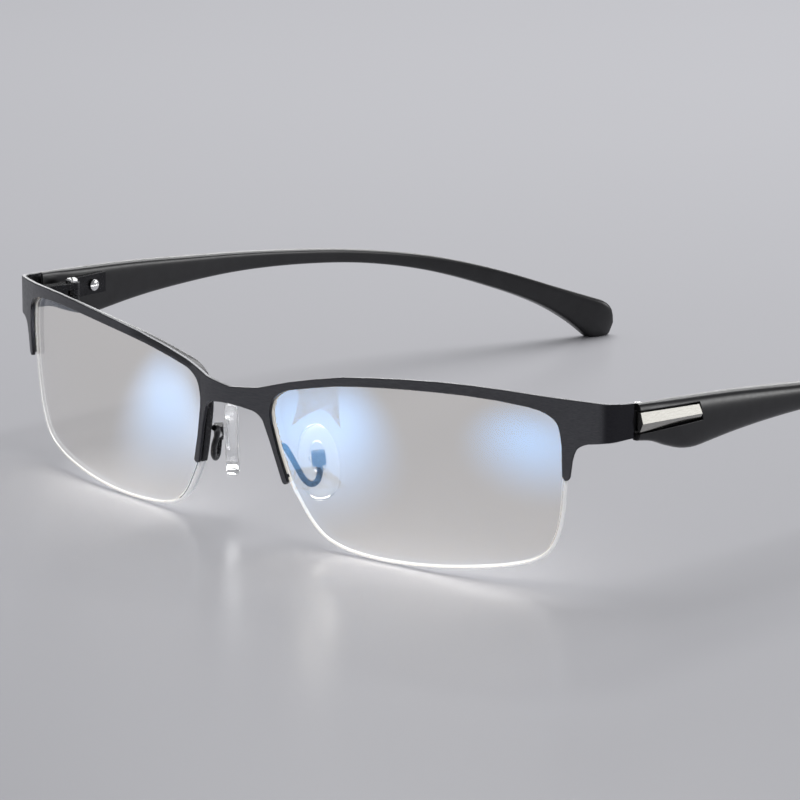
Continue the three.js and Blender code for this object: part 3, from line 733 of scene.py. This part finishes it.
# ---- nose pads: an oval pebble with a pocket for its hard core ---------------------------------------
PAD_CENTRE = Vector((10.5, -0.1, 13.1))
PAD_LONG = Vector((0.06, 0.11, -0.992)).normalized()
PAD_OUT = Vector((0.742, -0.669, -0.0293)).normalized()
PAD_ACROSS = PAD_OUT.cross(PAD_LONG).normalized()
PAD_HALF_LENGTH = 6.5
PAD_HALF_WIDTH = 3.3
PAD_HALF_THICK = 1.15
PAD_EDGE = 0.85
PAD_EDGE_DEEP = 0.68
PAD_EDGE_TURN = 10
PAD_TAPER = 0.05
PAD_POWER = 0.88
PAD_FACE_POWER = 0.9
PAD_FACE_SHARES = (0.02, 0.2, 0.4, 0.6, 0.8)
POCKET_AT = -1.2
POCKET_FLOOR = 0.32
POCKET_HALF_LENGTH = 2.78
POCKET_HALF_WIDTH = 1.5
POCKET_BEVEL = 0.08
POCKET_MIDDLE = (0.06, 0.03)
OVAL_POINTS = 72


def oval(half_length, half_width, power=1.0, at=0.0):
    """Points of a tapered oval; a power below 1 gives it fuller shoulders."""
    points = []
    for k in range(OVAL_POINTS):
        angle = 2 * math.pi * k / OVAL_POINTS
        c = math.cos(angle)
        s = math.sin(angle)
        x = math.copysign(abs(c)**power, c) * half_length
        y = math.copysign(abs(s)**power, s) * half_width * (1 + PAD_TAPER * c)
        points.append((at + x, y))
    return points


def pad_outline(inset):
    return oval(PAD_HALF_LENGTH - inset, PAD_HALF_WIDTH - inset, PAD_POWER)


def pocket_outline(outset):
    return oval(POCKET_HALF_LENGTH + outset, POCKET_HALF_WIDTH + outset, at=POCKET_AT)


def make_pad(side_name):
    """Outlines from the middle of the nose side, round the edge, to the floor of the pocket."""
    levels = []
    for share in PAD_FACE_SHARES:
        half_length = (PAD_HALF_LENGTH - PAD_EDGE) * share
        half_width = (PAD_HALF_WIDTH - PAD_EDGE) * share
        levels.append((oval(half_length, half_width, PAD_FACE_POWER), -PAD_HALF_THICK))
    edge = []
    for angle in range(0, 91, PAD_EDGE_TURN):
        turn = math.radians(angle)
        inset = PAD_EDGE * (1 - math.sin(turn))
        edge.append((inset, PAD_HALF_THICK - PAD_EDGE_DEEP * (1 - math.cos(turn))))
    levels += [(pad_outline(inset), -height) for inset, height in edge]
    levels += [(pad_outline(inset), height) for inset, height in reversed(edge)]
    levels.append((pocket_outline(POCKET_BEVEL), PAD_HALF_THICK))
    levels.append((pocket_outline(0), PAD_HALF_THICK - POCKET_BEVEL))
    levels.append((pocket_outline(0), POCKET_FLOOR))
    levels.append((oval(*POCKET_MIDDLE, at=POCKET_AT), POCKET_FLOOR))
    rings = []
    for outline, height in levels:
        ring = []
        for x, y in outline:
            place = PAD_CENTRE + PAD_LONG * x + PAD_ACROSS * y + PAD_OUT * height
            ring.append(placed(*place, SIDES[side_name]))
        rings.append(ring)
    make_piece("pad_body", "nose_pad", side_name, f"nose_pad_{side_name}", rings)


# ---- temples: a section that changes along the length, as the CAD makes it ---------------------------
TEMPLE_START = 10.6
TEMPLE_END = 147.6
TEMPLE_SLICES = 130
SLICES_GATHER = 0.35
TIP_ROUND = 4.2
TIP_LEAST_SQUARED = 0.09
TIP_LEAN = 0.14
TIP_LEAN_FROM = 95
TIP_LEAN_TO = 140
TIP_SWING = 0.42
TIP_SWING_FROM = 132
SECTION_POINTS = 48
SECTION_SCALE = 0.975
OUTER_POWER = 2.5
INNER_POWER = 5
TRIM_ENDS = {
    "y": (10.38, 24.4),
    "x": (70.12, 71.3),
    "top": (30.15, 29.45),
    "ridge": (28.0, 27.6),
    "bottom": (26.3, 26.45),
}
TRIM_DEEP = 1.3
RECESS_OUT = 2.0
RECESS_RIDGE = 0.55
RECESS_SLANT = 0.5
BORE_Y = 22.0
BORE_Z = 27.5
BORE_RADIUS = 0.64
BORE_ENDS_X = (66.0, 69.3)
BORE_SIDES = 24


def profile(pairs):
    """A smooth function through (position, value) pairs, with straight ends."""
    keys = [pair[0] for pair in pairs]
    values = [pair[1] for pair in pairs]

    def at(key):
        i, p = between(keys, key)
        j = i + 1
        half = (keys[j] - keys[i]) / 2
        before, before_key = (i - 1, keys[i - 1]) if i else (j, keys[j])
        after, after_key = (j + 1, keys[j + 1]) if j + 1 < len(keys) else (i, keys[i])
        w = half / (keys[i] - before_key)
        v = half / (after_key - keys[j])
        return (
            (-w * p**3 + 2 * w * p * p - w * p) * values[before]
            + ((1 + w) * p**3 - (1.5 + 2 * w) * p * p + (w - 0.5) * p + 1) * values[i]
            + (-(1 + v) * p**3 + (1.5 + v) * p * p + 0.5 * p) * values[j]
            + (v * p**3 - v * p * p) * values[after]
        )

    return at


# Pairs of a distance back and the temple's outer x, top, bottom or thickness there.
temple_x = profile([
    (10, 70.1), (20, 71.1), (32, 71.7), (46, 72.1), (60, 72.3), (75, 71.5), (90, 70.1), (105, 67.6),
    (118, 63.9), (132, 58.6), (148, 52.3),
])
temple_top = profile([
    (10, 31.35), (20, 30.8), (34, 29.8), (50, 28.2), (72, 25.9), (92, 23.3), (110, 19.8), (122, 16.3),
    (134, 11.8), (148, 5.9),
])
temple_bottom = profile([
    (10, 25.15), (14, 24.45), (17.5, 23.1), (21, 22.05), (24, 21.75), (27.5, 22.05), (33, 22.6),
    (41, 23.1), (54, 23.35), (66, 23.1), (80, 22.1), (94, 20.3), (108, 17.2), (120, 13.2), (132, 8),
    (140, 3.1), (148, -3.2),
])
temple_thick = profile([(10, 2.0), (14, 2.2), (18, 2.8), (30, 3.2), (80, 3.1), (110, 3.3), (148, 3.2)])


def eased(value, low, high):
    """From 0 to 1, with a gentle start and end, as value goes from low to high."""
    share = min(max((value - low) / (high - low), 0), 1)
    return share * share * (3 - 2 * share)


def temple_section():
    """A section one unit wide and high: crowned outside, nearly flat inside."""
    points = []
    for k in range(SECTION_POINTS):
        angle = 2 * math.pi * (k + 0.5) / SECTION_POINTS
        c = math.cos(angle)
        s = math.sin(angle)
        power = 2 / (OUTER_POWER if c > 0 else INNER_POWER)
        points.append((
            math.copysign(abs(c)**power, c) * SECTION_SCALE / 2,
            math.copysign(abs(s)**power, s) * SECTION_SCALE / 2,
        ))
    return points


def trim_recess(side):
    """The room for the silver insert, its rear end slanted."""
    rings = []
    for end in (0, 1):
        y, x, top, ridge, bottom = (TRIM_ENDS[key][end] for key in ("y", "x", "top", "ridge", "bottom"))
        slant = RECESS_SLANT * end
        out = x + RECESS_OUT
        inner = x - TRIM_DEEP
        rings.append([
            placed(inner, y + slant, bottom, side),
            placed(out - RECESS_RIDGE, y + slant, bottom, side),
            placed(out, y + slant / 2, ridge, side),
            placed(out - RECESS_RIDGE, y, top, side),
            placed(inner, y, top, side),
        ])
    return rings


def leaf_bore(side):
    """The hole for the screw that holds the hinge's leaf."""
    circle = round_section(BORE_RADIUS, BORE_Y, BORE_Z, BORE_SIDES)
    return [[placed(x, y, z, side) for y, z in circle] for x in BORE_ENDS_X]


def make_temple(side_name):
    side = SIDES[side_name]
    section = temple_section()
    rings = []
    for i in range(TEMPLE_SLICES + 1):
        share = i / TEMPLE_SLICES
        station = share + SLICES_GATHER * (math.sin(share * math.pi / 2) - share)
        y = TEMPLE_START + (TEMPLE_END - TEMPLE_START) * station
        top = temple_top(y)
        bottom = temple_bottom(y)
        thick = temple_thick(y)
        past = max(0, (y - (TEMPLE_END - TIP_ROUND)) / TIP_ROUND)
        shrunk = math.sqrt(max(1 - past**2, TIP_LEAST_SQUARED))
        height = (top - bottom) * shrunk
        lean = TIP_LEAN * eased(y, TIP_LEAN_FROM, TIP_LEAN_TO)
        swing = TIP_SWING * eased(y, TIP_SWING_FROM, TEMPLE_END)
        middle = temple_x(y) - thick / 2
        ring = []
        for across, up in section:
            place_x = middle + across * thick * shrunk - lean * up * height
            place_y = y + swing * up * height
            ring.append(placed(place_x, place_y, (top + bottom) / 2 + up * height, side))
        rings.append(ring)
    cutters = [trim_recess(side), leaf_bore(side)]
    make_piece("temple_arm", "temple", side_name, f"temple_{side_name}", rings, cutters=cutters)


def make_pieces():
    rim_line, cord_line = rim_and_cord_lines()
    liner_line = rim_line[LINER_SHORTER:-LINER_SHORTER]
    cord = round_section(CORD_RADIUS, CORD_OUT, GROOVE_AT)
    for side_name in SIDES:
        make_lens(side_name)
        make_arm(side_name)
        make_pad(side_name)
        make_temple(side_name)
        front_sweep("rim_channel", "eyewire", side_name, rim_line, channel_section())
        front_sweep("rim_strip", "rim_liner", side_name, liner_line, strip_section())
        front_sweep("cord_line", "lens_cord", side_name, cord_line, cord)


# ---- floor and light ---------------------------------------------------------------------------------
WORLD_SHADE = (0.58, 0.585, 0.61, 1)
WORLD_STRENGTH = 0.38
FLOOR_RADIUS = 4
FLOOR_SIDES = 96
CARD_HEIGHT = 0.5 * MM


def make_floor():
    bpy.ops.mesh.primitive_circle_add(
        vertices=FLOOR_SIDES, radius=FLOOR_RADIUS, fill_type="NGON", location=(0, 0, 0),
    )
    floor = bpy.context.object
    floor.name = "floor"
    s = Shader("pale_floor")
    s.set(roughness=0.24, specular_ior_level=0.4)
    s.drive("Base Color", s.ramp(s.noise(0.002), (0.555, 0.555, 0.585), (0.575, 0.575, 0.605)))
    floor.data.materials.append(s.material)


def make_world():
    world = bpy.data.worlds.new("studio")
    world.use_nodes = True
    background = world.node_tree.nodes["Background"]
    background.inputs["Color"].default_value = WORLD_SHADE
    background.inputs["Strength"].default_value = WORLD_STRENGTH
    bpy.context.scene.world = world


def only_lights(light, kinds):
    """The light falls only on these kinds of part."""
    receivers = bpy.data.collections.new(light.name + "_receivers")
    for name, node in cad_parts.items():
        if kind_of(name) in kinds:
            receivers.objects.link(node)
    for kind, piece in MADE:
        if kind in kinds:
            receivers.objects.link(piece)
    light.light_linking.receiver_collection = receivers


def area_light(name, place, aim, width, height, power):
    """A soft rectangular lamp, sizes in metres and power in watts."""
    data = bpy.data.lights.new(name, "AREA")
    data.shape = "RECTANGLE"
    data.size = width
    data.size_y = height
    data.energy = power
    light = bpy.data.objects.new(name, data)
    light.location = place
    light.rotation_euler = (Vector(aim) - Vector(place)).to_track_quat("-Z", "Y").to_euler()
    light.visible_camera = False
    add_to_scene(light)
    return light


def glow_card(name, x, y, across, deep, turn, strength):
    """A small soft-edged light on the floor, seen only as a coloured sheen on the lenses.

    Place and half sizes are in millimetres, the turn is in degrees, and it shines only upwards.
    """
    bpy.ops.mesh.primitive_plane_add(size=2, location=(x * MM, y * MM, CARD_HEIGHT))
    card = bpy.context.object
    card.name = name
    card.scale = (across * MM, deep * MM, 1)
    card.rotation_euler.z = math.radians(turn)
    s = Shader(name)
    ball = s.nodes.new("ShaderNodeTexGradient")
    ball.gradient_type = "SPHERICAL"
    s.link(s.place, ball.inputs["Vector"])
    lit = s.nodes.new("ShaderNodeEmission")
    soft = s.nodes.new("ShaderNodeMapRange")
    soft.interpolation_type = "SMOOTHSTEP"
    soft.inputs["To Max"].default_value = strength
    s.link(ball.outputs["Fac"], soft.inputs["Value"])
    s.link(soft.outputs["Result"], lit.inputs["Strength"])
    clear = s.nodes.new("ShaderNodeBsdfTransparent")
    both = s.nodes.new("ShaderNodeAddShader")
    s.link(lit.outputs["Emission"], both.inputs[0])
    s.link(clear.outputs["BSDF"], both.inputs[1])
    seen_from = s.nodes.new("ShaderNodeNewGeometry")
    sided = s.nodes.new("ShaderNodeMixShader")
    s.link(seen_from.outputs["Backfacing"], sided.inputs["Fac"])
    s.link(both.outputs["Shader"], sided.inputs[1])
    s.link(clear.outputs["BSDF"], sided.inputs[2])
    s.link(sided.outputs["Shader"], s.output.inputs["Surface"])
    card.data.materials.append(s.material)
    card.visible_camera = False
    card.visible_diffuse = False
    card.visible_transmission = False
    card.visible_shadow = False
    only_lights(card, {"lens"})


def make_lights():
    """One lamp overhead for everything; the others fall only on the kinds of part that need them."""
    above = {"place": (-0.2, 0.45, 0.75), "aim": (0, 0, 0), "width": 0.8, "height": 0.8}
    in_front = {"place": (0.5, -0.9, 0.6), "aim": (0, -0.06, 0.01), "width": 0.6, "height": 0.6}
    behind_left = {"place": (-1.15, 1.25, 0.3), "aim": (0, 0, 0.02), "width": 1.3, "height": 0.35}
    behind_right = {"place": (1.2, 1.3, 0.36), "aim": (0, 0, 0.02), "width": 0.8, "height": 0.4}
    area_light("overhead", **above, power=8.7)
    back_left = area_light("back_left", **behind_left, power=5.0)
    back_right = area_light("back_right", **behind_right, power=7.5)
    on_trim = area_light("on_trim", **behind_right, power=1.7)
    only_lights(back_left, set(SLOT_OF) - {"lens", "temple_trim"})
    only_lights(back_right, set(SLOT_OF) - {"lens", "temple_trim", "nose_pad", "pad_core"})
    only_lights(on_trim, {"temple_trim"})
    fill = area_light("fill", **in_front, power=5.0)
    only_lights(fill, {"lens", "lens_cord", "nose_pad", "pad_core", "rim_liner"})
    glow_card("glow_near_left", x=-21, y=-127, across=34, deep=68, turn=-33, strength=11.5)
    glow_card("glow_near_right", x=68, y=-142, across=36, deep=52, turn=-8, strength=10)
    glow_card("glow_far", x=-58, y=-124, across=31, deep=62, turn=-40, strength=11.5)


make_camera()
make_world()
make_floor()
finish_cad_nodes()
make_pieces()
make_lights()
bpy.context.scene.view_settings.view_transform = "Standard"
